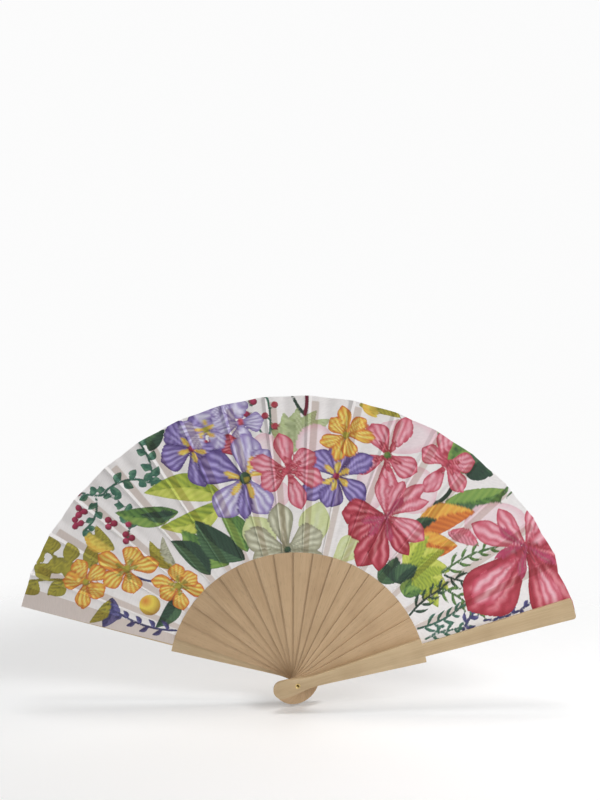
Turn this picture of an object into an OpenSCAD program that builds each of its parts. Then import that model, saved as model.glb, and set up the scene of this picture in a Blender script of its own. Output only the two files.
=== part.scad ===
// Folding hand fan: sixteen ribs between two guards, turning on one hollow rivet, with a pleated
// cloth leaf. The fan stands in the XZ plane with its front towards -Y, opened to its full spread.
// The rivet's axis is the Y axis, and every stick and every face of the leaf has a layer of its own
// along Y, so that the whole stack can fold shut without anything meeting.

/* [Spread] */
// Angle of the front guard above the +X axis, degrees
front_angle = 15.5; // [0:0.5:40]
// Angle from the front guard to the first rib, degrees
first_step = 10; // [7:0.25:12]
// Angle from each rib to the next, degrees
rib_step = 8.75; // [7:0.25:9.5]
// Angle from the last rib to the rear guard, degrees
last_step = 6.3; // [5:0.1:9]

/* [Leaf] */
// Radius of the leaf's outer edge
leaf_outer = 216.5; // [180:0.5:240]
// Radius of the leaf's inner edge, where the blades end
leaf_inner = 98; // [80:1:120]
// Thickness of the cloth
cloth_t = 0.22; // [0.15:0.01:0.3]
// Angle from a rib's middle back to the valley fold before it, degrees
to_valley = 2.5; // [1.8:0.1:3]
// Angle from a rib's middle on to the mountain fold after it, degrees
to_mountain = 1.4; // [1.2:0.1:2]

/* [Ribs] */
// Distance from one rib's layer to the next
layer = 1.1; // [1.05:0.05:1.5]
// Thickness of a rib's blade
blade_t = 0.9; // [0.6:0.05:0.95]
// Thickness of the narrow strip that carries the cloth
strip_t = 0.5; // [0.3:0.05:0.5]
// Width of a blade at its shoulder
shoulder_w = 18; // [14:0.5:20]
// Width of a rib's neck above the rivet
rib_neck_w = 7.4; // [6:0.2:9]
// Distance from the rivet down to the end of a rib's head
rib_head = 18.2; // [14:0.2:20]
// Width of a rib's head
rib_head_w = 12; // [10:0.2:14]
// Width of the strip where it leaves the blade
strip_root_w = 4; // [3:0.1:5]
// Width of the strip at its tip
strip_tip_w = 5.5; // [4:0.1:6]
// Radius at which the strips end, inside the leaf's edge
strip_end = 212.5; // [170:0.5:216]

/* [Guards] */
// Thickness of each guard outside the leaf
guard_t = 2.2; // [1.5:0.1:3]
// Width of a guard's neck above the rivet
guard_neck_w = 7.8; // [6:0.2:9]
// Distance from the rivet down to the end of a guard's head
guard_head = 18.6; // [15:0.2:22]
// Width of a guard's head
guard_head_w = 12.8; // [10:0.2:14]
// Width of a guard's upper part at the shoulder
upper_root_w = 9.3; // [8:0.1:12]
// Width of a guard's upper part at the tip
upper_tip_w = 16; // [12:0.5:18]
// Radius of the guards' tips
guard_end = 215.5; // [180:0.5:240]
// Radius of the rounded corners at the tip of a guard
tip_corner = 2; // [1:0.5:5]

/* [Rivet] */
// Radius of the hollow rivet's shank
rivet_r = 1.25; // [1:0.05:1.6]
// Radius of the hole through the rivet
rivet_bore_r = 0.8; // [0.5:0.05:0.9]
// Radial clearance of the turning sticks on the rivet
running_fit = 0.05; // [0.03:0.01:0.1]
// Radius of the rivet's flared front end and of its rolled rear end
rivet_head_r = 1.9; // [1.7:0.1:2.5]
// Height of each end; the front one is sunk flush into the guard
rivet_head_t = 0.5; // [0.4:0.1:0.8]
// Radius of the rivet's flared mouth at the front
mouth_r = 1.45; // [1:0.05:1.5]
// Radius of the washer under the rear end
washer_r = 3; // [2.2:0.1:4]
// Thickness of the washer
washer_t = 0.5; // [0.3:0.1:0.8]

/* [Hidden] */
$fn = 64;
RIBS = 16;
LAST = RIBS + 1;
function numbered(name, from, to) = [for (k = [from:to]) str(name, k < 10 ? "0" : "", k)];
RIB_NAMES = numbered("rib_", 1, RIBS);
FACE_NAMES = numbered("leaf_face_", 0, LAST);
PLEAT_NAMES = numbered("leaf_pleat_", 0, RIBS);

WOOD = "#b59a7a";
GUARD_WOOD = "#bda787";
CLOTH = "#e2dcd8";
BRASS = "#b9a36a";

blade_gap = (layer - blade_t) / 2;
pleat_gap = (layer - 2 * cloth_t - strip_t) / 2;
// The rear face of the front guard's blade, which reaches back past the first layer of the leaf
front_blade_y = layer - blade_gap;
rear_y = LAST * layer;
stack_front = -guard_t;
stack_rear = rear_y + cloth_t + guard_t;

// The angle of stick k: 0 is the front guard and LAST is the rear guard
function stick_angle(k) =
    k == 0 ? front_angle
    : k == LAST ? front_angle + first_step + (RIBS - 1) * rib_step + last_step
    : front_angle + first_step + (k - 1) * rib_step;

function bezier(a, b, c, d, n) = [
    for (i = [0:n]) let (t = i / n, s = 1 - t)
        s * s * s * a + 3 * s * s * t * b + 3 * s * t * t * c + t * t * t * d
];
function arc(centre, r, from, to, n) = [
    for (i = [0:n]) let (t = from + (to - from) * i / n) centre + r * [cos(t), sin(t)]
];
function reversed(list) = [for (i = [len(list) - 1:-1:0]) list[i]];
// The other side of an outline that is the same about the stick's middle line
function mirrored(side) = [for (p = reversed(side)) [p[0], -p[1]]];
// The angle at which a point half a width off the middle line lies on a circle of radius r
function half_angle(w, r) = asin(w / 2 / r);

// One side of a stick from the end of its head to its shoulder, along +X from the rivet at the origin
function lower_side(head, head_w, neck_w) = concat(
    arc([head_w / 2 - head, 0], head_w / 2, 180, 90, 8),
    bezier([2 + head_w / 2 - head, head_w / 2], [0, head_w / 2 - 0.4],
        [4, neck_w / 2], [13, neck_w / 2], 8),
    [[24, neck_w / 2 + 0.5]]
);
function shoulder_arc(w_inside, n) =
    arc([0, 0], leaf_inner, half_angle(shoulder_w, leaf_inner), half_angle(w_inside, leaf_inner), n);

function rib_side() = concat(
    lower_side(rib_head, rib_head_w, rib_neck_w),
    shoulder_arc(strip_root_w, 4)
);
function guard_side() = concat(
    lower_side(guard_head, guard_head_w, guard_neck_w),
    shoulder_arc(upper_root_w, 3)
);
function strip_side(w_root, w_tip, end) = [[leaf_inner - 1, w_root / 2], [end, w_tip / 2]];
function upper_side(end) = concat(
    [[leaf_inner - 1, upper_root_w / 2]],
    arc([end - tip_corner, upper_tip_w / 2 - tip_corner], tip_corner, 90, 0, 6)
);

// Children lie in a layer of thickness t that starts at y0, turned to angle a in the fan's plane
module in_layer(y0, t, a = 0) {
    translate([0, y0 + t, 0])
        rotate([90, 0, 0])
            rotate([0, 0, a])
                linear_extrude(t) children();
}

// A hole along Y through everything between y0 and y1
module rivet_hole(y0, y1, r) {
    translate([0, y1 + 1, 0])
        rotate([90, 0, 0])
            cylinder(h = y1 - y0 + 2, r = r);
}

module rib(k) {
    y0 = k * layer;
    color(WOOD)
    difference() {
        union() {
            in_layer(y0 + blade_gap, blade_t, stick_angle(k))
                polygon(concat(rib_side(), mirrored(rib_side())));
            in_layer(y0 + cloth_t, strip_t, stick_angle(k))
                polygon(concat(
                    strip_side(strip_root_w, strip_tip_w, strip_end),
                    mirrored(strip_side(strip_root_w, strip_tip_w, strip_end))
                ));
        }
        rivet_hole(y0, y0 + layer, rivet_r + running_fit);
    }
}

module front_guard() {
    color(GUARD_WOOD)
    difference() {
        union() {
            in_layer(stack_front, front_blade_y - stack_front, stick_angle(0))
                polygon(concat(guard_side(), mirrored(guard_side())));
            in_layer(stack_front, guard_t, stick_angle(0))
                polygon(concat(upper_side(guard_end), mirrored(upper_side(guard_end))));
        }
        rivet_hole(stack_front, front_blade_y, rivet_r);
        translate([0, stack_front + rivet_head_t, 0])
            rotate([90, 0, 0])
                cylinder(h = 1, r = rivet_head_r + running_fit);
    }
}

module rear_guard() {
    color(GUARD_WOOD)
    difference() {
        union() {
            in_layer(rear_y + blade_gap, stack_rear - rear_y - blade_gap, stick_angle(LAST))
                polygon(concat(guard_side(), mirrored(guard_side())));
            in_layer(rear_y + cloth_t, guard_t, stick_angle(LAST))
                polygon(concat(upper_side(guard_end), mirrored(upper_side(guard_end))));
        }
        rivet_hole(rear_y, stack_rear, rivet_r + running_fit);
    }
}

module rivet() {
    rear_roll = stack_rear + running_fit + washer_t - stack_front;
    end = rear_roll + rivet_head_t;
    color(BRASS)
    translate([0, stack_front, 0])
        rotate([-90, 0, 0])
            rotate_extrude()
                polygon([
                    [rivet_bore_r, rivet_head_t],
                    [mouth_r, 0],
                    [rivet_head_r, 0],
                    [rivet_head_r, rivet_head_t],
                    [rivet_r, rivet_head_t],
                    [rivet_r, rear_roll],
                    [rivet_head_r, rear_roll],
                    [rivet_head_r, end - 0.2],
                    [rivet_head_r - 0.3, end],
                    [rivet_bore_r, end]
                ]);
}

module washer() {
    color(BRASS)
    difference() {
        translate([0, stack_rear + running_fit, 0])
            rotate([-90, 0, 0])
                cylinder(h = washer_t, r = washer_r);
        rivet_hole(stack_rear, stack_rear + 1, rivet_r);
    }
}

// A flat sector of cloth in the layer that starts at y0, between two angles
module sector(y0, from, to) {
    color(CLOTH)
    translate([0, y0 + cloth_t, 0])
        rotate([90, 0, 0])
            rotate([0, 0, from])
                rotate_extrude(angle = to - from)
                    translate([leaf_inner + 0.1, 0])
                        square([leaf_outer - leaf_inner - 0.1, cloth_t]);
}

// The face of the leaf that is glued to stick k
module leaf_face(k) {
    on_rear_guard = k == LAST ? half_angle(upper_tip_w, guard_end) - to_mountain : 0;
    sector(k * layer, stick_angle(k) - to_valley, stick_angle(k) + to_mountain + on_rear_guard);
}

// The free face of the leaf between stick k and the next one, where the cloth folds
module leaf_pleat(k) {
    sector(
        (k + 1) * layer - pleat_gap - cloth_t,
        stick_angle(k) + to_mountain,
        stick_angle(k + 1) - to_valley
    );
}

front_guard();
rivet();
washer();
rear_guard();
for (k = [1:RIBS]) rib(k);
for (k = [0:LAST]) leaf_face(k);
for (k = [0:RIBS]) leaf_pleat(k);
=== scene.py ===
import math

import bpy
import numpy as np
from mathutils import Matrix, Vector


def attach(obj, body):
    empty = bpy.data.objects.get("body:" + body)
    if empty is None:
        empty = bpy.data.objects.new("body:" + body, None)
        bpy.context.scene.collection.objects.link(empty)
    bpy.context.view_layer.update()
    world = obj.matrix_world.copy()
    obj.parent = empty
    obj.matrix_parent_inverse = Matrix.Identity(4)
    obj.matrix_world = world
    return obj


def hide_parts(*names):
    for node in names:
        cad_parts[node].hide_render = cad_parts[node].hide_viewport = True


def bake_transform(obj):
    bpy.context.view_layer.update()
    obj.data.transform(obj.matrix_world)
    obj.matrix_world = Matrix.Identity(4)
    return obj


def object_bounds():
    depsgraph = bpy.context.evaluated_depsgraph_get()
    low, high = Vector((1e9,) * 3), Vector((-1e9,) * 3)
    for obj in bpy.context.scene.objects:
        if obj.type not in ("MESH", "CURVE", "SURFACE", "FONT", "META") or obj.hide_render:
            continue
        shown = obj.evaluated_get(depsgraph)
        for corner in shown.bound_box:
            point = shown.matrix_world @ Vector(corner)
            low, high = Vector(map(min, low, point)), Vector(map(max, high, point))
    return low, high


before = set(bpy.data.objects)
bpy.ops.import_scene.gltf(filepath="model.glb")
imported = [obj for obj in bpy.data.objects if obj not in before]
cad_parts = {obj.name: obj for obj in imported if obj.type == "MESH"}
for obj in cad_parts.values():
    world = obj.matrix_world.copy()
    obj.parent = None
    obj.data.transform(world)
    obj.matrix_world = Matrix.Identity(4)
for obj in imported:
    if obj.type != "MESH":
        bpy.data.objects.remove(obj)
CAD_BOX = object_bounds()

# A folding hand fan, stood open on its edge. Sizes below are millimetres and angles are degrees,
# and MM turns them into the scene's metres. The fan's plane is XZ and the rivet lies along Y.
MM = 0.001

# The sticks: 0 is the front guard, 1 to 16 are the ribs and 17 is the rear guard
RIBS = 16
LAST = RIBS + 1
FRONT_ANGLE = 15.5
FIRST_STEP = 10.0
RIB_STEP = 8.75
LAST_STEP = 6.3
RIB_ANGLES = [FRONT_ANGLE + FIRST_STEP + RIB_STEP * k for k in range(RIBS)]
STICK_ANGLES = [FRONT_ANGLE] + RIB_ANGLES + [RIB_ANGLES[-1] + LAST_STEP]
SPREAD = STICK_ANGLES[-1] - FRONT_ANGLE
LAYER = 1.1

# The cloth
LEAF_INNER = 98.1
LEAF_OUTER = 216.5
CLOTH_THICK = 0.2
TO_VALLEY = 2.5
TO_MOUNTAIN = 1.4
PLEAT_SWEEP = TO_VALLEY + TO_MOUNTAIN
FRONT_TUCK = 2.0
REAR_TUCK = 2.12
PLEAT_HEIGHT = 1.5
HEIGHT_A_LAYER = 0.8
BEHIND_STRIP = 0.8
VALLEY_DIP = 0.9
FIRST_VALLEY_DIP = 3.0
# The grid's columns follow the strips: each counts as one degree of turn from its middle to its edge
STRIP_TURN = 1.0
STRIP_COLUMNS = 5
FOLD_COLUMNS = 3
# How far past the edge of its strip the cloth starts to fold, which leaves room for its thickness
STRIP_CLEAR = 0.25
CLOTH_ROWS = 112

# The strips that carry the cloth
STRIP_ROOT = 4.0
STRIP_TIP = 5.5
STRIP_END = 212.5
# Stands for well off any strip, as a distance inside one's edge
OFF_STRIP = -3.0
# The width of a guard's upper part under the cloth, at its root and its tip
GUARD_ROOT = 9.3
GUARD_TIP = 16.0


def alone(thing):
    """Selects one object and nothing else."""
    bpy.ops.object.select_all(action="DESELECT")
    thing.select_set(True)
    bpy.context.view_layer.objects.active = thing


def apply_modifier(thing, kind, **settings):
    """Adds a modifier, sets it and applies it."""
    alone(thing)
    made = thing.modifiers.new(kind.title(), kind)
    for name, value in settings.items():
        setattr(made, name, value)
    bpy.ops.object.modifier_apply(modifier=made.name)


# ---------------------------------------------------------------- camera, light and floor


# The camera's turn to the side, tilt down and roll, its place, and its lens for its sensor's height
CAMERA_TURN = 2.71
CAMERA_DROP = 3.15
CAMERA_ROLL = 0.49
CAMERA_PLACE = (-28.5, -600, 246.5)
CAMERA_LENS = 36.92
SENSOR_HEIGHT = 36

# The lamps, each as its place and what it shines at, in metres, its size and its power
KEY = ((0.62, -0.5, 0.62), (0, 0, 0.08), 0.36, 4.0)
FILL = ((-0.2, -1.6, 0.5), (0, 0, 0.1), 1.6, 4.0)
BACK_FILL = ((0.3, 1.6, 0.6), (0, 0, 0.1), 1.6, 9.0)
TOP_STRENGTH = 1.3
TOP_SOFTNESS = 24

# The brightness of the white behind the fan, and the part of it that lights the fan
SEEN_WHITE = 0.97
ROOM_LIGHT = 0.2
FLOOR_WHITE = 0.93
FLOOR_GLOW = 0.06
# How far from below the rivet the floor starts to fade, and where it has gone, in metres
FLOOR_FADE = (0.26, 0.5)
FLOOR_SIZE = 12
# How far the floor lies below the fan
FLOOR_GAP = 3


def add_camera():
    """A view of the open fan from its front, from a little to its left and above it."""
    turn = math.radians(CAMERA_TURN)
    drop = math.radians(CAMERA_DROP)
    roll = math.radians(CAMERA_ROLL)
    ahead = Vector((math.sin(turn) * math.cos(drop), math.cos(turn) * math.cos(drop), -math.sin(drop)))
    level = ahead.cross(Vector((0, 0, 1))).normalized()
    above = level.cross(ahead)
    side = math.cos(roll) * level + math.sin(roll) * above
    top = math.cos(roll) * above - math.sin(roll) * level
    place = Vector(CAMERA_PLACE) * MM
    bpy.ops.object.camera_add()
    camera = bpy.context.object
    camera.name = "camera"
    camera.matrix_world = Matrix.Translation(place) @ Matrix((side, top, -ahead)).transposed().to_4x4()
    camera.data.sensor_fit = "VERTICAL"
    camera.data.sensor_height = SENSOR_HEIGHT
    camera.data.lens = CAMERA_LENS
    camera.data.clip_start = 0.01
    bpy.context.scene.camera = camera


def add_light(name, place, aim, size, power):
    """A square soft light that shines from a place towards a point, both in metres."""
    bpy.ops.object.light_add(type="AREA", location=place)
    light = bpy.context.object
    light.name = name
    light.rotation_euler = (Vector(aim) - Vector(place)).to_track_quat("-Z", "Y").to_euler()
    light.data.size = size
    light.data.energy = power
    light.visible_camera = False


def light_the_studio():
    """A grazing key from the right, broad fills before and behind, a soft top light and a white room."""
    add_light("key", *KEY)
    add_light("fill", *FILL)
    add_light("back_fill", *BACK_FILL)
    bpy.ops.object.light_add(type="SUN", location=(0, 0, 1))
    top = bpy.context.object
    top.name = "top"
    top.data.energy = TOP_STRENGTH
    top.data.angle = math.radians(TOP_SOFTNESS)
    world = bpy.data.worlds.new("studio")
    bpy.context.scene.world = world
    world.use_nodes = True
    tree = world.node_tree
    room = tree.nodes["Background"]
    room.inputs["Color"].default_value = (1, 1, 1, 1)
    seen = put(tree, "LightPath").outputs["Is Camera Ray"]
    strength = figure(tree, "MULTIPLY_ADD", seen, SEEN_WHITE - ROOM_LIGHT, ROOM_LIGHT)
    feed(tree, strength, room.inputs["Strength"])
    bpy.context.scene.view_settings.view_transform = "Standard"


def add_floor():
    """The pale floor just under the heads of the ribs, which fades into the white around it."""
    bpy.ops.mesh.primitive_plane_add(size=FLOOR_SIZE, location=(0, 0, CAD_BOX[0].z - FLOOR_GAP * MM))
    floor = bpy.context.object
    floor.name = "floor"
    material, shader = new_material("pale_floor")
    shader.inputs["Base Color"].default_value = (FLOOR_WHITE, FLOOR_WHITE, FLOOR_WHITE, 1)
    shader.inputs["Roughness"].default_value = 0.9
    shader.inputs["Specular IOR Level"].default_value = 0.1
    shader.inputs["Emission Color"].default_value = (1, 1, 1, 1)
    tree = material.node_tree
    seen = put(tree, "LightPath").outputs["Is Camera Ray"]
    feed(tree, figure(tree, "MULTIPLY", seen, FLOOR_GLOW), shader.inputs["Emission Strength"])
    away = put(tree, "VectorMath", operation="LENGTH")
    feed(tree, put(tree, "TexCoord").outputs["Object"], away.inputs[0])
    faded = step(tree, away.outputs["Value"], *FLOOR_FADE)
    feed(tree, figure(tree, "SUBTRACT", 1.0, faded), shader.inputs["Alpha"])
    floor.data.materials.append(material)


# ---------------------------------------------------------------- small shader helpers


def put(tree, kind, **settings):
    """Adds a shader node and sets its options."""
    made = tree.nodes.new("ShaderNode" + kind)
    for name, value in settings.items():
        setattr(made, name, value)
    return made


def feed(tree, value, socket):
    """Gives a socket its value: another node's output, or a number or colour."""
    if isinstance(value, bpy.types.NodeSocket):
        tree.links.new(value, socket)
    elif value is not None:
        socket.default_value = value


def figure(tree, operation, first, second=None, third=None, clamp=False):
    """The result of a Math node."""
    made = put(tree, "Math", operation=operation, use_clamp=clamp)
    for value, socket in zip((first, second, third), made.inputs):
        feed(tree, value, socket)
    return made.outputs[0]


def step(tree, value, low, high):
    """0 below low, 1 above high and a soft rise between them."""
    made = put(tree, "MapRange", interpolation_type="SMOOTHSTEP")
    for socket, number in zip(made.inputs, (value, low, high, 0.0, 1.0)):
        feed(tree, number, socket)
    return made.outputs[0]


def tint_with(tree, amount, under, over, way="MIX"):
    """Lays one colour over another."""
    made = put(tree, "Mix", data_type="RGBA", blend_type=way)
    feed(tree, amount, made.inputs[0])
    feed(tree, under, made.inputs[6])
    feed(tree, over, made.inputs[7])
    return made.outputs[2]


def stretched(tree, place, stretch):
    """A place multiplied along each of its directions."""
    made = put(tree, "VectorMath", operation="MULTIPLY")
    feed(tree, place, made.inputs[0])
    made.inputs[1].default_value = stretch
    return made.outputs[0]


def noise(tree, place, scale, detail=3.0, rough=0.5):
    """Soft even noise from 0 to 1."""
    made = put(tree, "TexNoise")
    feed(tree, place, made.inputs["Vector"])
    feed(tree, scale, made.inputs["Scale"])
    made.inputs["Detail"].default_value = detail
    made.inputs["Roughness"].default_value = rough
    return made.outputs[0]


def new_material(name):
    """A material with its shader."""
    material = bpy.data.materials.new(name)
    material.use_nodes = True
    return material, material.node_tree.nodes["Principled BSDF"]


def raise_surface(tree, shader, height, distance):
    """Raises the surface by a height from 0 to 1, times a distance in millimetres."""
    bump = put(tree, "Bump")
    bump.inputs["Strength"].default_value = 1.0
    bump.inputs["Distance"].default_value = distance * MM
    feed(tree, height, bump.inputs["Height"])
    feed(tree, bump.outputs[0], shader.inputs["Normal"])


def linear(colour):
    """A screen colour of 0 to 255 as light."""
    return tuple((c / 255 / 12.92) if c <= 10 else ((c / 255 + 0.055) / 1.055) ** 2.4 for c in colour)


def solid(colour):
    return (*linear(colour), 1.0)


def new_group(name, inputs, outputs):
    """A shader group with its named inputs and outputs, as (name, kind) pairs."""
    group = bpy.data.node_groups.new(name, "ShaderNodeTree")
    for label, kind in inputs:
        group.interface.new_socket(name=label, in_out="INPUT", socket_type="NodeSocket" + kind)
    for label, kind in outputs:
        group.interface.new_socket(name=label, in_out="OUTPUT", socket_type="NodeSocket" + kind)
    start = group.nodes.new("NodeGroupInput")
    end = group.nodes.new("NodeGroupOutput")
    return group, start, end


def use_group(tree, group, **values):
    """Places a group in a material with the values of its inputs, by name."""
    made = put(tree, "Group", node_tree=group)
    for name, value in values.items():
        feed(tree, value, made.inputs[name])
    return made


# ---------------------------------------------------------------- wood and brass


# Woods, each as its light and its dark colour and its share of flecks
RIB_WOOD = ((208, 178, 140), (190, 158, 120), 0.5)
# The two edge woods go on the sanded edges: paler cut wood, made near white as a painted highlight along
# every edge
RIB_EDGE_HIGHLIGHT = ((255, 248, 232), (250, 234, 208), 0.0)
GUARD_WOOD = ((208, 184, 146), (188, 161, 123), 0.2)
GUARD_EDGE_HIGHLIGHT = ((240, 224, 196), (222, 200, 166), 0.1)
BRASS = (228, 204, 140)
# As light rather than screen colours
FLECK_BROWN = (0.30, 0.20, 0.12, 1)
HANDLED_BROWN = (0.55, 0.47, 0.40, 1)
# How far the edges of the ribs and of the guards are sanded back
RIB_SANDING = 0.42
GUARD_SANDING = 0.4


def make_grain_group():
    """Wood grain that runs along a stick: long soft figure, fine lines and short dark flecks."""
    group, start, end = new_group(
        "Wood grain",
        [("Place", "Vector"), ("Light", "Color"), ("Dark", "Color"), ("Flecks", "Float")],
        [("Color", "Color"), ("Height", "Float"), ("Roughness", "Float")],
    )
    place = start.outputs["Place"]
    figure_wave = noise(group, stretched(group, place, (9, 190, 190)), 1.0, 3.0, 0.55)
    lines = noise(group, stretched(group, place, (26, 1500, 1500)), 1.0, 4.0, 0.6)
    dashes = noise(group, stretched(group, place, (210, 2600, 2600)), 1.0, 1.0, 0.4)
    both = figure(group, "MULTIPLY_ADD", lines, 0.55, figure(group, "MULTIPLY", figure_wave, 0.55))
    shade = step(group, both, 0.3, 0.85)
    wood = tint_with(group, shade, start.outputs["Light"], start.outputs["Dark"])
    fleck = figure(group, "MULTIPLY", step(group, dashes, 0.62, 0.76), start.outputs["Flecks"])
    flecked = tint_with(group, fleck, wood, FLECK_BROWN)
    feed(group, flecked, end.inputs["Color"])
    feed(group, figure(group, "SUBTRACT", lines, fleck), end.inputs["Height"])
    feed(group, figure(group, "MULTIPLY_ADD", lines, 0.22, 0.44), end.inputs["Roughness"])
    return group


def make_wear_group():
    """Uneven tone, as from handling: broad patches that darken a colour and roughen it."""
    group, start, end = new_group(
        "Handled tone",
        [("Place", "Vector"), ("Color", "Color"), ("Size", "Float"), ("Amount", "Float")],
        [("Color", "Color"), ("Patches", "Float")],
    )
    patches = noise(group, start.outputs["Place"], start.outputs["Size"], 2.0)
    amount = figure(group, "MULTIPLY", step(group, patches, 0.4, 0.72), start.outputs["Amount"])
    worn = tint_with(group, amount, start.outputs["Color"], HANDLED_BROWN, "MULTIPLY")
    feed(group, worn, end.inputs["Color"])
    feed(group, patches, end.inputs["Patches"])
    return group


def make_wood(name, grain, wear, light, dark, flecks):
    """Bare sanded wood with its grain along the stick."""
    material, shader = new_material(name)
    tree = material.node_tree
    place = put(tree, "Attribute", attribute_name="grain").outputs["Vector"]
    wood = use_group(tree, grain, Place=place, Light=solid(light), Dark=solid(dark), Flecks=flecks)
    tone = use_group(tree, wear, Place=place, Color=wood.outputs["Color"], Size=38.0, Amount=0.22)
    feed(tree, tone.outputs["Color"], shader.inputs["Base Color"])
    feed(tree, wood.outputs["Roughness"], shader.inputs["Roughness"])
    raise_surface(tree, shader, wood.outputs["Height"], 0.05)
    return material


def make_brass(wear):
    """Dull rolled brass with fine turning marks."""
    material, shader = new_material("brass")
    tree = material.node_tree
    place = put(tree, "TexCoord").outputs["Object"]
    tone = use_group(tree, wear, Place=place, Color=solid(BRASS), Size=900.0, Amount=0.5)
    marks = noise(tree, stretched(tree, place, (3000, 9000, 3000)), 1.0, 2.0)
    feed(tree, tone.outputs["Color"], shader.inputs["Base Color"])
    feed(tree, figure(tree, "MULTIPLY_ADD", marks, 0.3, 0.38), shader.inputs["Roughness"])
    shader.inputs["Metallic"].default_value = 1.0
    raise_surface(tree, shader, marks, 0.01)
    return material


# ---------------------------------------------------------------- sticks


def mark_grain(stick, angle, number):
    """Stores each point's place along, across and through its stick, shifted so that no two match."""
    mesh = stick.data
    places = np.empty(len(mesh.vertices) * 3, np.float32)
    mesh.vertices.foreach_get("co", places)
    places = places.reshape(-1, 3)
    lean = math.radians(angle)
    along = places[:, 0] * math.cos(lean) + places[:, 2] * math.sin(lean)
    across = places[:, 2] * math.cos(lean) - places[:, 0] * math.sin(lean)
    grain = np.stack([along + 0.43 * number, across + 0.07 * number, places[:, 1]], axis=1)
    stored = mesh.attributes.new("grain", "FLOAT_VECTOR", "POINT")
    stored.data.foreach_set("vector", grain.astype(np.float32).ravel())


def finish_stick(node, body, number, wood, edge_highlight_wood, soften):
    """The cut stick, with its faces made whole, its edges sanded round and its grain along it."""
    mesh = bpy.data.objects[node].data.copy()
    mesh.materials.clear()
    stick = bpy.data.objects.new(node + "_wood", mesh)
    bpy.context.scene.collection.objects.link(stick)
    alone(stick)
    bpy.ops.object.mode_set(mode="EDIT")
    bpy.ops.mesh.select_all(action="SELECT")
    bpy.ops.mesh.remove_doubles(threshold=0.001 * MM)
    bpy.ops.mesh.dissolve_limited(angle_limit=math.radians(0.5))
    bpy.ops.object.mode_set(mode="OBJECT")
    mesh.materials.append(wood)
    # The sanded edges take the edge wood, a painted highlight over paler cut wood
    mesh.materials.append(edge_highlight_wood)
    apply_modifier(
        stick, "BEVEL", width=soften * MM, segments=2, limit_method="ANGLE",
        angle_limit=math.radians(40), material=1,
    )
    alone(stick)
    bpy.ops.object.shade_smooth_by_angle(angle=math.radians(35))
    mark_grain(stick, STICK_ANGLES[number], number)
    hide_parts(node)
    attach(stick, body)


def finish_sticks(grain, wear):
    """Both guards and all the ribs."""
    rib_wood = make_wood("rib_wood", grain, wear, *RIB_WOOD)
    rib_edge_highlight = make_wood("rib_edge_highlight", grain, wear, *RIB_EDGE_HIGHLIGHT)
    guard_wood = make_wood("guard_wood", grain, wear, *GUARD_WOOD)
    guard_edge_highlight = make_wood("guard_edge_highlight", grain, wear, *GUARD_EDGE_HIGHLIGHT)
    finish_stick("front_guard", "front_stick", 0, guard_wood, guard_edge_highlight, GUARD_SANDING)
    finish_stick("rear_guard", "rear_stick", LAST, guard_wood, guard_edge_highlight, GUARD_SANDING)
    for number in range(1, LAST):
        finish_stick(
            f"rib_{number:02d}", f"stick_{number:02d}", number, rib_wood, rib_edge_highlight,
            RIB_SANDING,
        )


# ---------------------------------------------------------------- the pleated cloth


def face_columns(first, last):
    """The counted turns of a face's columns, from one fold to the strip, across it and to the other."""
    return np.concatenate([
        np.linspace(first, -STRIP_TURN, FOLD_COLUMNS + 1)[:-1],
        np.linspace(-STRIP_TURN, STRIP_TURN, STRIP_COLUMNS + 1)[:-1],
        np.linspace(STRIP_TURN, last, FOLD_COLUMNS + 1),
    ])


def cloth_columns():
    """The columns of the cloth from the front guard to the rear one.

    Each is its counted turn from the middle of its stick, its stick, and whether it is glued down.
    """
    columns = []
    for k in range(LAST + 1):
        first = -FRONT_TUCK if k == 0 else -TO_VALLEY
        last = REAR_TUCK if k == LAST else TO_MOUNTAIN
        columns += [(counted, k, 1) for counted in face_columns(first, last)]
        if k < LAST:
            free = face_columns(-TO_VALLEY, TO_MOUNTAIN)[-2:0:-1]
            columns += [(counted, k, 0) for counted in free]
    return np.array(columns)


def strip_half_width(radius):
    """Half the width of a strip at some radius."""
    return np.interp(radius, (LEAF_INNER, STRIP_END), (STRIP_ROOT, STRIP_TIP)) / 2


def place_columns(counted, stick, glued, radius):
    """Where the columns lie at each radius.

    Gives their angle, their turn from their stick when the fan is shut, how far they have come from
    the strip's edge towards the fold, and their share of the fan's turn.
    """
    fold = np.where(counted > 0, TO_MOUNTAIN, TO_VALLEY)
    fold = np.where((stick == LAST) & (counted > 0), REAR_TUCK, fold)
    fold = np.where((stick == 0) & (glued > 0) & (counted < 0), FRONT_TUCK, fold)
    edge = np.degrees((strip_half_width(radius) + STRIP_CLEAR) / radius)
    past_edge = (np.abs(counted) - STRIP_TURN) / (fold - STRIP_TURN)
    on_strip = np.abs(counted) / STRIP_TURN * edge
    turn = np.sign(counted) * np.where(past_edge > 0, edge + past_edge * (fold - edge), on_strip)
    middles = np.array(STICK_ANGLES)
    shares = (middles - FRONT_ANGLE) / SPREAD
    following = np.minimum(stick + 1, LAST)
    part = np.where(glued > 0, 0.0, (TO_MOUNTAIN - turn) / PLEAT_SWEEP)
    gap = middles[following] - middles[stick] - PLEAT_SWEEP
    angle = middles[stick] + np.where(glued > 0, turn, TO_MOUNTAIN + part * gap)
    share = shares[stick] + part * (shares[following] - shares[stick])
    return angle, turn, np.clip(past_edge, 0, 1), share


def pleat_heights(sticks, from_end):
    """How far the folds beside some sticks may rise, so that the shut fan still lies flat."""
    room = np.clip(HEIGHT_A_LAYER * (LAST - sticks if from_end else sticks), 0, PLEAT_HEIGHT)
    return np.where((sticks > 0) & (sticks < LAST), room, 0.0)


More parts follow.
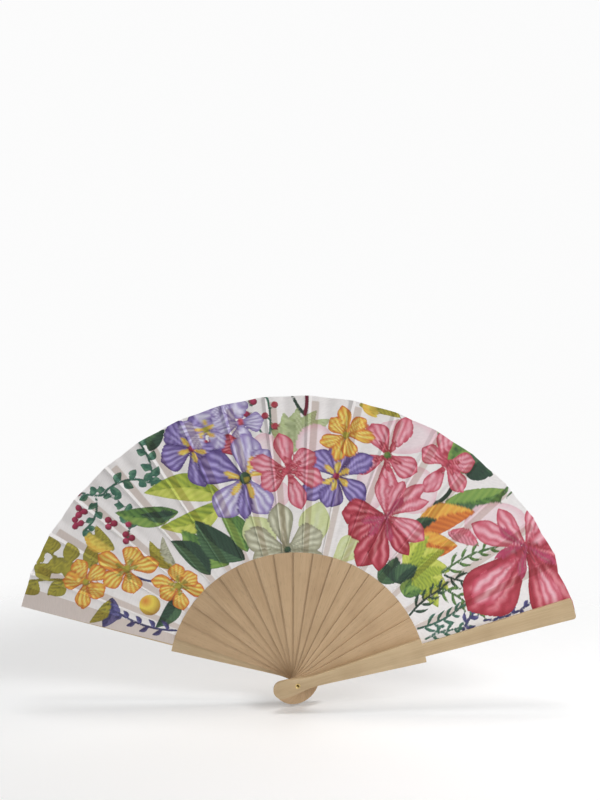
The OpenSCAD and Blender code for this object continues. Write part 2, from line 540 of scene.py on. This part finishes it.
def outer_edge(angles):
    """The cloth's outer radius at each angle, which dips a little at every valley fold."""
    valleys = np.array(STICK_ANGLES[1:]) - TO_VALLEY
    mountains = np.array(STICK_ANGLES[:-1]) + TO_MOUNTAIN
    stations = np.sort(np.concatenate([valleys, mountains]))
    dips = np.where(np.isin(stations, valleys), VALLEY_DIP, 0.0)
    dips[stations == valleys[0]] = FIRST_VALLEY_DIP
    return LEAF_OUTER - np.interp(angles, stations, dips)


def shape_cloth():
    """A flat grid, drawn out to the fan's arc and folded into its pleats."""
    columns = cloth_columns()
    steps = len(columns) - 1
    bpy.ops.object.select_all(action="DESELECT")
    bpy.ops.mesh.primitive_grid_add(x_subdivisions=steps, y_subdivisions=CLOTH_ROWS, size=1)
    cloth = bpy.context.object
    cloth.name = "pleated_leaf"
    grid = np.empty(len(cloth.data.vertices) * 3, np.float32)
    cloth.data.vertices.foreach_get("co", grid)
    grid = grid.reshape(-1, 3)
    at = np.rint((grid[:, 0] + 0.5) * steps).astype(int)
    counted, stick, glued = columns[at].T
    stick = stick.astype(int)
    rim_angle = place_columns(counted, stick, glued, LEAF_OUTER)[0]
    radius = LEAF_INNER + (grid[:, 1] + 0.5) * (outer_edge(rim_angle) - LEAF_INNER)
    angle, turn, ramp, share = place_columns(counted, stick, glued, radius)

    opened = (radius - LEAF_INNER) / (LEAF_OUTER - LEAF_INNER)
    rise = -pleat_heights(stick, False) * ramp * opened
    fall = pleat_heights(np.where(glued > 0, stick, stick + 1), True) * ramp * opened
    # Behind its strip a free face keeps off the next layer until its last column before the valley
    at_valley = np.clip(FOLD_COLUMNS * ramp - (FOLD_COLUMNS - 1), 0, 1)
    to_valley = BEHIND_STRIP + (LAYER - BEHIND_STRIP) * at_valley
    behind = np.where(turn > 0, BEHIND_STRIP * (1 - ramp), to_valley)
    depth = stick * LAYER + np.where(turn > 0, rise, fall) + np.where(glued > 0, 0.0, behind)

    across = radius * np.cos(np.radians(angle))
    up = radius * np.sin(np.radians(angle))
    placed = np.stack([across, depth, up], axis=1) * MM
    cloth.data.vertices.foreach_set("co", placed.astype(np.float32).ravel())
    cloth.data.update()
    alone(cloth)
    bpy.ops.object.mode_set(mode="EDIT")
    bpy.ops.mesh.select_all(action="SELECT")
    bpy.ops.mesh.flip_normals()
    bpy.ops.object.mode_set(mode="OBJECT")

    guard_half = np.interp(radius, (LEAF_INNER, LEAF_OUTER), (GUARD_ROOT, GUARD_TIP)) / 2
    on_guard = angle > STICK_ANGLES[LAST] - TO_VALLEY
    off_middle = np.radians(np.abs(turn)) * radius
    on_strip = np.where(glued > 0, strip_half_width(radius) - off_middle, OFF_STRIP)
    on_strip = np.minimum(on_strip, STRIP_END - radius)
    on_strip = np.where(on_guard, guard_half - off_middle, on_strip)
    store(cloth, "on_strip", on_strip)
    store(cloth, "share", share)
    weave = np.stack([np.radians(angle) * radius, radius, np.zeros(len(radius))], axis=1)
    stored = cloth.data.attributes.new("weave", "FLOAT_VECTOR", "POINT")
    stored.data.foreach_set("vector", weave.astype(np.float32).ravel())
    return cloth, across, up


def store(piece, name, values):
    """Keeps one number for each point of a piece."""
    stored = piece.data.attributes.new(name, "FLOAT", "POINT")
    stored.data.foreach_set("value", np.asarray(values, np.float32))


# ---------------------------------------------------------------- the print

# Inks, each as its heart, its body and its rim
GOLD = ((160, 104, 30), (246, 220, 84), (226, 98, 36))
LEMON = ((190, 150, 40), (240, 220, 100), (234, 176, 60))
VIOLET = ((52, 34, 90), (158, 140, 210), (82, 56, 130))
LILAC = ((84, 60, 136), (216, 210, 240), (142, 118, 190))
CRIMSON = ((100, 8, 24), (214, 84, 104), (166, 24, 48))
ROSE = ((158, 14, 44), (242, 164, 180), (208, 64, 92))
MIST = ((236, 186, 198), (246, 220, 226), (244, 210, 218))
GHOST = ((108, 108, 84), (212, 212, 184), (160, 158, 130))
OLIVE = ((84, 84, 30), (190, 178, 58), (146, 140, 44))
MEADOW = ((30, 66, 40), (104, 150, 68), (150, 182, 88))
PINE = ((20, 40, 34), (42, 80, 56), (84, 122, 80))
LIME = ((84, 124, 40), (192, 206, 70), (222, 226, 110))
PALE = ((132, 148, 96), (206, 216, 168), (178, 194, 134))
CREAM = ((196, 206, 140), (222, 230, 176), (214, 222, 160))
EMBER = ((182, 58, 28), (234, 138, 50), (246, 200, 84))
TEAL = ((34, 84, 72), (64, 122, 98), (110, 158, 128))
NAVY = ((38, 40, 78), (78, 74, 138), (120, 118, 176))
WINE = ((92, 10, 36), (172, 30, 76), (206, 80, 120))

INK_BLEED = 1.6
# The distance inside its edge that stands for no ink at all
NO_INK = -9.0


class Ink:
    """One printing of ink: its colour at each point, and how far inside its edge the point lies."""

    def __init__(self, across, up):
        self.across = across
        self.up = up
        self.colour = np.full((len(across), 3), 0.8)
        self.inside = np.full(len(across), NO_INK)

    def lay(self, inside, colour):
        """Lays a shape over what is there; its colour runs a little past its edge."""
        past_edge = (inside > -INK_BLEED) & (inside > self.inside)
        covers = (inside > 0) | past_edge
        self.colour[covers] = colour[covers]
        self.inside[covers] = np.where(inside[covers] > 0, inside[covers], self.inside[covers])
        self.inside = np.maximum(self.inside, np.where(covers, inside, NO_INK))

    def near(self, base, turn):
        """Distances along and beside a line that leaves a base at an angle."""
        lean = math.radians(turn)
        right = self.across - base[0]
        above = self.up - base[1]
        along = right * math.cos(lean) + above * math.sin(lean)
        beside = above * math.cos(lean) - right * math.sin(lean)
        return along, beside


def shade_of(tints, amount):
    """The colour between the heart, the body and the rim of an ink."""
    heart, body, rim = (np.array(linear(tint)) for tint in tints)
    amount = np.clip(amount, 0, 1)[:, None]
    return np.where(
        amount < 0.5, heart + (body - heart) * amount * 2, body + (rim - body) * (amount * 2 - 1)
    )


def inside_of(along, beside, length, half):
    """How far inside an outline of the given half width a point lies."""
    beyond = np.maximum(np.maximum(-along, along - length), 0)
    return np.where(beyond > 0, -np.hypot(beside, beyond), half - np.abs(beside))


def painted(tints, light, strokes, outline):
    """An ink's body, with its rim where light is low, strokes of its heart and an outline."""
    heart, body, rim = (np.array(linear(tint)) for tint in tints)
    colour = rim + (body - rim) * np.clip(light, 0, 1.25)[:, None]
    colour = colour + (1 - colour) * (0.30 * np.clip(light - 0.75, 0, 1))[:, None]
    colour = colour + (heart - colour) * (0.7 * np.clip(strokes, 0, 1))[:, None]
    return colour + (heart - colour) * (0.4 * np.clip(outline, 0, 1))[:, None]


def petal(ink, base, turn, length, width, tints, strokes=4.0, outlined=1.0):
    """A round-ended petal on a slim foot, with its rim's colour at its edge and strokes from its foot.

    Its turn also varies its bow and its strokes, so that no two petals match.
    """
    along, beside = ink.near(base, turn)
    part = np.clip(along / length, 0, 1)
    bow = 0.05 * length * math.sin(turn) * np.sin(math.pi * part)
    beside = beside - bow
    half = width / 2 * (0.14 + 0.86 * np.sin(math.pi * part ** 1.9) ** 0.75) * np.sqrt(
        np.clip(1.0 - part ** 7, 0, 1)
    )
    inside = inside_of(along, beside, length, half)
    fan = np.arctan2(beside, along + 0.22 * length)
    brush = np.sin(fan * strokes * 9 + turn + 0.5 * np.sin(along * 0.6))
    fine = np.sin(fan * strokes * 23 + 2 * turn)
    from_rim = np.clip(inside / (0.17 * width), 0, 1)
    light = from_rim * (0.80 + 0.55 * brush) * np.clip(1.6 - 0.95 * part, 0, 1)
    foot = np.clip(1.0 - part * 2.4, 0, 1) * (0.45 + 0.4 * fine)
    dark = np.clip(brush * fine - 0.35, 0, 1) * np.clip(1.2 - 1.3 * part, 0, 1)
    outline = np.clip(1 - np.abs(inside) / 0.8, 0, 1) * outlined
    ink.lay(inside, painted(tints, light, foot + dark, outline))


def wash(ink, place, across, up):
    """A pale pink wash with a soft round outline."""
    away = np.hypot((ink.across - place[0]) / across, (ink.up - place[1]) / up)
    inside = (1 - away) * min(across, up)
    ink.lay(inside, painted(MIST, inside / 3, np.zeros(len(inside)), np.clip(1 - inside, 0, 0.5)))


def leaf(ink, base, tip, width, tints, bend=0.12, veins=1.5):
    """A pointed leaf with a middle vein, side veins and one half darker than the other."""
    length = math.dist(base, tip)
    turn = math.degrees(math.atan2(tip[1] - base[1], tip[0] - base[0]))
    along, beside = ink.near(base, turn)
    part = np.clip(along / length, 0, 1)
    beside = beside - bend * length * np.sin(math.pi * part)
    half = width / 2 * np.sin(math.pi * part ** 0.85) ** 0.9
    inside = inside_of(along, beside, length, half)
    vein = np.sin((along - np.abs(beside) * 1.3) * veins)
    middle = np.clip(1 - np.abs(beside) / 0.7, 0, 1)
    halves = np.clip(beside / 1.2, -1, 1)
    colour = shade_of(tints, 0.50 + 0.24 * halves + 0.14 * vein - 0.4 * middle + 0.14 * part)
    outline = np.clip(1 - np.abs(inside) / 0.8, 0, 1)[:, None] * 0.35
    ink.lay(inside, colour * (1 - outline) + np.array(linear(tints[0])) * outline)


def bowed(start, end, bow, part):
    """A point part of the way along a line that bows to its left."""
    swell = 4 * bow * part * (1 - part)
    return (
        start[0] + (end[0] - start[0]) * part - (end[1] - start[1]) * swell,
        start[1] + (end[1] - start[1]) * part + (end[0] - start[0]) * swell,
    )


def stem(ink, start, end, bow, width, tints):
    """A thin bowed stem."""
    points = [bowed(start, end, bow, part) for part in np.linspace(0, 1, 9)]
    inside = np.full(len(ink.across), NO_INK)
    for a, b in zip(points, points[1:]):
        length = math.dist(a, b)
        turn = math.degrees(math.atan2(b[1] - a[1], b[0] - a[0]))
        along, beside = ink.near(a, turn)
        beyond = np.maximum(np.maximum(-along, along - length), 0)
        inside = np.maximum(inside, width / 2 - np.hypot(beside, beyond))
    ink.lay(inside, shade_of(tints, np.full(len(inside), 0.2)))


def berry(ink, place, radius, tints):
    """A round berry, lighter at its upper left."""
    inside = radius - np.hypot(ink.across - place[0], ink.up - place[1])
    shine = np.hypot(ink.across - place[0] + 0.4 * radius, ink.up - place[1] - 0.4 * radius)
    ink.lay(inside, shade_of(tints, 0.9 - 0.55 * shine / radius))


def sprig(ink, start, end, bow, pairs, length, width, tints, spread=50, stem_width=1.7):
    """A stem with leaves in pairs on both sides and one at its tip."""
    stem(ink, start, end, bow, stem_width, tints)
    heading = math.degrees(math.atan2(end[1] - start[1], end[0] - start[0]))
    for n in range(pairs):
        for side in (1, -1):
            part = (n + 0.75 + 0.22 * side) / (pairs + 0.3)
            base = bowed(start, end, bow, part)
            aim = math.radians(heading + side * spread + bow * 120 * (0.5 - part))
            size = length * (1 - 0.35 * part)
            tip = (base[0] + size * math.cos(aim), base[1] + size * math.sin(aim))
            leaf(ink, base, tip, width, tints, 0.1 * side)
    aim = math.radians(heading)
    reach = 0.7 * length
    leaf(ink, end, (end[0] + reach * math.cos(aim), end[1] + reach * math.sin(aim)), width, tints)


def berry_sprig(ink, start, end, bow, count, radius, tints):
    """A thin stem with berries on short stalks."""
    stem(ink, start, end, bow, 1.7, TEAL)
    heading = math.atan2(end[1] - start[1], end[0] - start[0])
    for n in range(count):
        base = bowed(start, end, bow, (n + 1) / count)
        aim = heading + (0.9 if n % 2 else -0.9)
        place = (base[0] + 5 * math.cos(aim), base[1] + 5 * math.sin(aim))
        stem(ink, base, place, 0.0, 1.5, TEAL)
        berry(ink, place, radius, tints)


def blossom(ink, centre, petals, length, width, tints, turn=90, heart=OLIVE, rays=None, heart_size=2.6):
    """An open flower: its petals in a ring, rays from its middle and a small heart."""
    for n in range(petals):
        vary = math.sin(2.3 * n + turn)
        petal(
            ink, centre, turn + 360 * n / petals + 9 * vary, length * (1 + 0.14 * vary),
            width * (1 - 0.1 * vary), tints,
        )
    if rays:
        for n in range(petals):
            aim = turn + 360 * n / petals + 9 * math.sin(2.3 * n + turn)
            petal(ink, centre, aim, 0.42 * length, 0.16 * length, rays, outlined=0.2)
    berry(ink, centre, heart_size, heart)


def whorl(ink, base, turns, length, width, tints):
    """Leaves that spread from one point."""
    for turn in turns:
        aim = math.radians(turn)
        tip = (base[0] + length * math.cos(aim), base[1] + length * math.sin(aim))
        leaf(ink, base, tip, width, tints)


def print_foliage(ink):
    """The first printing: leaves, stems, sprigs and berries, in places across and above the rivet."""
    # At the left, olive buds and a berry vine
    sprig(ink, (-148, 82), (-196, 102), 0.05, 3, 19, 13, OLIVE, 62, 2.0)
    sprig(ink, (-156, 72), (-203, 74), -0.06, 2, 21, 13, OLIVE, 44, 2.0)
    leaf(ink, (-138, 98), (-152, 118), 10, OLIVE)
    leaf(ink, (-140, 98), (-162, 114), 11, LEMON)
    leaf(ink, (-94, 84), (-112, 106), 10, OLIVE)
    leaf(ink, (-92, 86), (-102, 110), 7, GHOST)
    sprig(ink, (-128, 108), (-146, 142), -0.22, 3, 9, 5.5, TEAL)
    sprig(ink, (-146, 142), (-110, 150), 0.16, 3, 11, 6, TEAL)
    sprig(ink, (-110, 148), (-124, 186), -0.12, 3, 10, 6, TEAL)
    sprig(ink, (-146, 140), (-172, 148), 0.1, 2, 9, 5, TEAL)
    sprig(ink, (-152, 140), (-160, 114), 0.16, 2, 8, 5, TEAL)
    bunches = ((-168, 142), (-163, 128), (-166, 119), (-144, 168), (-141, 119), (-126, 121), (-128, 108))
    for across, up in bunches:
        for n in range(3):
            berry(ink, (across + 3 * math.cos(2.1 * n), up + 3 * math.sin(2.1 * n)), 2.6, WINE)
    leaf(ink, (-112, 174), (-100, 190), 12, PINE)
    # Long leaves under the violet flowers
    leaf(ink, (-90, 128), (-138, 127), 16, MEADOW, 0.08, 0.9)
    leaf(ink, (-92, 127), (-118, 126), 9, PINE, 0.1, 0.9)
    leaf(ink, (-56, 136), (-104, 116), 18, LIME, 0.12, 0.9)
    leaf(ink, (-56, 140), (-116, 142), 21, LIME, -0.1, 0.9)
    leaf(ink, (-52, 88), (-88, 114), 22, MEADOW, 0.1, 0.9)
    leaf(ink, (-66, 80), (-96, 106), 17, PINE, -0.1)
    leaf(ink, (-40, 92), (-78, 122), 22, PINE, 0.1)
    leaf(ink, (-38, 98), (-60, 130), 16, MEADOW, -0.1)
    # Under the yellow flowers
    leaf(ink, (-90, 66), (-108, 38), 13, PINE)
    leaf(ink, (-140, 62), (-148, 38), 13, NAVY)
    leaf(ink, (-142, 60), (-158, 42), 9, OLIVE)
    sprig(ink, (-92, 36), (-136, 50), 0.08, 4, 10, 3.6, NAVY, 42)
    stem(ink, (-122, 78), (-90, 78), -0.12, 1.8, NAVY)
    # Along the top edge
    whorl(ink, (2, 178), (44, 68, 96, 118, 142, 168), 30, 12, PALE)
    berry_sprig(ink, (-28, 188), (-38, 214), 0.06, 4, 2.6, WINE)
    berry_sprig(ink, (-23, 182), (-24, 214), -0.06, 4, 2.6, CRIMSON)
    stem(ink, (4, 202), (-8, 226), 0.08, 2.4, PINE)
    stem(ink, (4, 202), (3, 226), -0.08, 2.6, WINE)
    leaf(ink, (44, 210), (76, 200), 12, OLIVE)
    leaf(ink, (58, 200), (50, 220), 10, LEMON)
    # At the right of the upper edge
    whorl(ink, (90, 180), (16, 52, 100), 26, 13, PALE)
    whorl(ink, (86, 176), (30, 74), 24, 10, TEAL)
    whorl(ink, (112, 162), (36, 58, 8), 34, 18, MEADOW)
    whorl(ink, (124, 160), (-6, 22), 22, 17, PINE)
    stem(ink, (116, 154), (102, 136), 0.14, 3.2, PINE)
    leaf(ink, (108, 135), (158, 147), 19, MEADOW, -0.06, 0.9)
    leaf(ink, (110, 132), (148, 134), 10, PINE, -0.06)
    stem(ink, (150, 134), (160, 152), 0.1, 1.7, MEADOW)
    stem(ink, (156, 140), (166, 148), 0.1, 1.7, MEADOW)
    # The pale pink washes behind the red flowers
    wash(ink, (-26, 168), 13, 20)
    wash(ink, (12, 180), 14, 15)
    wash(ink, (-22, 142), 16, 12)
    wash(ink, (54, 150), 11, 20)
    wash(ink, (86, 146), 18, 18)
    wash(ink, (84, 98), 17, 22)
    wash(ink, (78, 186), 26, 13)
    wash(ink, (148, 122), 24, 15)
    # The orange leaf and the lime ones beside the wood
    leaf(ink, (86, 112), (132, 130), 22, EMBER, 0.1, 1.0)
    leaf(ink, (88, 112), (120, 104), 19, EMBER, -0.12, 1.0)
    leaf(ink, (84, 114), (104, 124), 9, PINE)
    leaf(ink, (112, 114), (136, 104), 12, ROSE, 0.1)
    whorl(ink, (82, 82), (-46, -20, 6, 34, 62), 34, 15, LIME)
    whorl(ink, (74, 76), (92, 128, 40), 20, 15, PINE)
    whorl(ink, (80, 66), (70, 20), 14, 9, MEADOW)
    # Ferns and the blue sprigs along the front guard
    sprig(ink, (108, 84), (150, 104), 0.06, 5, 14, 2.4, MEADOW, 34)
    sprig(ink, (110, 82), (144, 76), -0.06, 4, 14, 2.4, PINE, 34)
    sprig(ink, (104, 74), (134, 54), 0.06, 4, 14, 2.4, MEADOW, 34)
    sprig(ink, (84, 52), (108, 72), 0.06, 4, 13, 2.4, PINE, 34)
    sprig(ink, (90, 42), (120, 56), -0.06, 4, 13, 2.4, TEAL, 34)
    sprig(ink, (96, 34), (124, 42), 0.06, 3, 11, 2.4, TEAL, 34)
    sprig(ink, (124, 38), (140, 60), 0.1, 3, 10, 3.0, NAVY, 44, 2.0)
    sprig(ink, (140, 48), (174, 60), -0.08, 3, 10, 3.0, NAVY, 44, 2.0)


def print_flowers(ink):
    """The second printing: the flowers, from those at the back to those in front."""
    # Pale flowers behind the bright ones
    petal(ink, (-18, 88), 118, 42, 26, CREAM, outlined=0.3)
    petal(ink, (6, 88), 78, 50, 24, CREAM, outlined=0.3)
    petal(ink, (24, 88), 44, 32, 20, CREAM, outlined=0.3)
    blossom(ink, (-8, 100), 6, 34, 21, GHOST, 36, PINE)
    blossom(ink, (-58, 212), 5, 20, 15, LILAC, 20, OLIVE)
    blossom(ink, (-44, 196), 4, 19, 15, LILAC, 10, CRIMSON)
    blossom(ink, (-62, 174), 3, 22, 16, CRIMSON, 30, WINE)
    blossom(ink, (66, 172), 5, 30, 17, ROSE, 52, MEADOW, CRIMSON)
    # The violet cluster
    blossom(ink, (-80, 176), 5, 27, 22, VIOLET, 64, WINE, LEMON)
    blossom(ink, (-70, 190), 5, 19, 14, LILAC, 100, OLIVE, LEMON)
    blossom(ink, (28, 156), 6, 28, 18, VIOLET, 20, WINE, LEMON)
    petal(ink, (-40, 154), 160, 38, 28, VIOLET)
    petal(ink, (-40, 154), 92, 34, 24, LILAC)
    petal(ink, (-40, 154), 50, 28, 18, LILAC)
    petal(ink, (-40, 154), 236, 36, 25, LILAC)
    petal(ink, (-40, 154), 302, 32, 22, LILAC)
    petal(ink, (-40, 154), 270, 32, 12, VIOLET)
    for turn in (20, 74, 165, 232, 290):
        petal(ink, (-40, 154), turn, 17, 5, LEMON, outlined=0.2)
    berry(ink, (-40, 154), 4.6, PINE)
    berry(ink, (-39, 153), 2.4, OLIVE)
    # Red and pink
    blossom(ink, (-8, 160), 6, 28, 16, ROSE, 42, CRIMSON, CRIMSON)
    blossom(ink, (110, 166), 5, 25, 15, ROSE, 84, CRIMSON, CRIMSON)
    for turn, length, width in ((64, 30, 12), (96, 32, 12), (40, 38, 12), (20, 34, 10), (328, 34, 17)):
        petal(ink, (66, 126), turn, length, width, ROSE)
    for turn, length, width in ((176, 34, 25), (206, 32, 24), (240, 44, 22), (262, 42, 17), (300, 34, 13)):
        petal(ink, (66, 126), turn, length, width, CRIMSON)
    for turn in (50, 230, 190, 280):
        petal(ink, (66, 126), turn, 20, 6, WINE, outlined=0.2)
    # Yellow
    blossom(ink, (35, 187), 7, 20, 12, GOLD, 90, OLIVE)
    blossom(ink, (-160, 74), 5, 19, 14, GOLD, 110, OLIVE)
    blossom(ink, (-129, 84), 5, 22, 16, GOLD, 74, OLIVE, OLIVE, 3)
    blossom(ink, (-90, 71), 6, 19, 13, GOLD, 100, OLIVE, OLIVE, 3)
    berry(ink, (-112, 56), 8, GOLD)
    # The largest flower, by the front guard
    for turn, length, width in ((158, 46, 18), (128, 36, 14), (70, 36, 18), (20, 40, 26)):
        petal(ink, (172, 104), turn, length, width, ROSE)
    for turn, length, width in ((344, 44, 34), (298, 66, 40), (228, 66, 46)):
        petal(ink, (172, 104), turn, length, width, CRIMSON)
    petal(ink, (166, 96), 226, 50, 24, ROSE, outlined=0.4)
    petal(ink, (178, 92), 296, 44, 16, ROSE, outlined=0.4)
    for turn in (146, 200, 262, 330):
        petal(ink, (172, 104), turn, 26, 7, WINE, outlined=0.2)


def lay_ink(cloth, ink, name):
    """Keeps one printing on the cloth, as its colour and the distance inside its edge."""
    stored = cloth.data.attributes.new(name + "_colour", "FLOAT_COLOR", "POINT")
    coloured = np.concatenate([ink.colour, np.ones((len(ink.colour), 1))], axis=1)
    stored.data.foreach_set("color", coloured.astype(np.float32).ravel())
    store(cloth, name + "_inside", ink.inside)


# ---------------------------------------------------------------- cloth finish


def printed(tree, under, name, wander):
    """One printing laid over a colour, with a crisp edge that wanders a little."""
    colour = put(tree, "Attribute", attribute_name=name + "_colour").outputs["Color"]
    inside = put(tree, "Attribute", attribute_name=name + "_inside").outputs["Fac"]
    edge = figure(tree, "ADD", inside, wander)
    return tint_with(tree, step(tree, edge, -0.25, 0.3), under, colour)


# The unprinted cloth, the cloth's back, the shadow of a strip behind it, and ink where it thins
BARE_CLOTH = (250, 246, 245)
CLOTH_BACK = (232, 228, 226)
STRIP_SHADOW = (216, 202, 192)
THIN_INK = (0.92, 0.92, 0.92, 1)
# How far the back pales the print, and how strongly the strips show
BACK_FADE = 0.45
STRIP_SHOWS = 0.72


def make_cloth(wear):
    """Fine white cotton with its print, which is paler on the back and darker over the strips."""
    material, shader = new_material("printed_cloth")
    tree = material.node_tree
    place = put(tree, "Attribute", attribute_name="weave").outputs["Vector"]
    bare = use_group(tree, wear, Place=place, Color=solid(BARE_CLOTH), Size=0.05, Amount=0.05)
    wander = figure(tree, "MULTIPLY_ADD", noise(tree, place, 0.7), 0.9, -0.45)
    cloth = printed(tree, bare.outputs["Color"], "foliage", wander)
    cloth = printed(tree, cloth, "flowers", wander)

    # Pooled ink, and threads that take a little less of it
    pool = noise(tree, stretched(tree, place, (0.5, 0.5, 0.5)), 1.0, 4.0, 0.6)
    cloth = tint_with(tree, step(tree, pool, 0.3, 0.75), cloth, THIN_INK, "MULTIPLY")
    parts = put(tree, "SeparateXYZ")
    feed(tree, place, parts.inputs[0])
    weft = figure(tree, "SINE", figure(tree, "MULTIPLY", parts.outputs[0], 18.0))
    warp = figure(tree, "SINE", figure(tree, "MULTIPLY", parts.outputs[1], 18.0))
    threads = figure(tree, "MULTIPLY_ADD", figure(tree, "MULTIPLY", weft, warp), 0.5, 0.5)
    cloth = tint_with(tree, figure(tree, "MULTIPLY", threads, 0.05), cloth, (1, 1, 1, 1))

    # The back of the cloth shows the print through from the front
    facing = put(tree, "SeparateXYZ")
    feed(tree, put(tree, "TexCoord").outputs["Normal"], facing.inputs[0])
    on_back = figure(tree, "MULTIPLY", step(tree, facing.outputs[1], -0.05, 0.05), BACK_FADE)
    cloth = tint_with(tree, on_back, cloth, solid(CLOTH_BACK))

    # The strips show through from behind as warm bands
    on_strip = put(tree, "Attribute", attribute_name="on_strip").outputs["Fac"]
    band = figure(tree, "MULTIPLY", step(tree, on_strip, -0.6, 0.5), STRIP_SHOWS)
    cloth = tint_with(tree, band, cloth, solid(STRIP_SHADOW), "MULTIPLY")

    feed(tree, cloth, shader.inputs["Base Color"])
    shader.inputs["Roughness"].default_value = 0.62
    shader.inputs["Specular IOR Level"].default_value = 0.3
    shader.inputs["Sheen Weight"].default_value = 0.15
    raise_surface(tree, shader, threads, 0.02)
    return material


def even_thickness(cloth):
    """Sets the back of the cloth straight behind its front, so that no steep fold cuts itself.

    The solidify modifier keeps the front's points first and adds the back's in the same order.
    """
    places = np.empty(len(cloth.data.vertices) * 3, np.float32)
    cloth.data.vertices.foreach_get("co", places)
    front, back = places.reshape(2, -1, 3)
    back[:] = front + np.array([0, CLOTH_THICK * MM, 0], np.float32)
    cloth.data.vertices.foreach_set("co", places)
    cloth.data.update()


def make_leaf(wear):
    """The pleated leaf: one sheet of printed cloth glued to every stick."""
    cloth, across, up = shape_cloth()
    foliage = Ink(across, up)
    print_foliage(foliage)
    lay_ink(cloth, foliage, "foliage")
    flowers = Ink(across, up)
    print_flowers(flowers)
    lay_ink(cloth, flowers, "flowers")
    cloth.data.materials.append(make_cloth(wear))
    apply_modifier(cloth, "SOLIDIFY", thickness=CLOTH_THICK * MM, offset=-1)
    even_thickness(cloth)
    alone(cloth)
    bpy.ops.object.shade_smooth_by_angle(angle=math.radians(30))

    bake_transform(cloth)
    shares = np.empty(len(cloth.data.vertices), np.float32)
    cloth.data.attributes["share"].data.foreach_get("value", shares)
    faces = [f"leaf_face_{k:02d}" for k in range(LAST + 1)]
    pleats = [f"leaf_pleat_{k:02d}" for k in range(LAST)]
    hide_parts(*faces, *pleats)


add_camera()
light_the_studio()
add_floor()
wood_grain = make_grain_group()
handled = make_wear_group()
finish_sticks(wood_grain, handled)
brass = make_brass(handled)
for metal in ("rivet", "washer"):
    for slot in bpy.data.objects[metal].material_slots:
        slot.material = brass
make_leaf(handled)
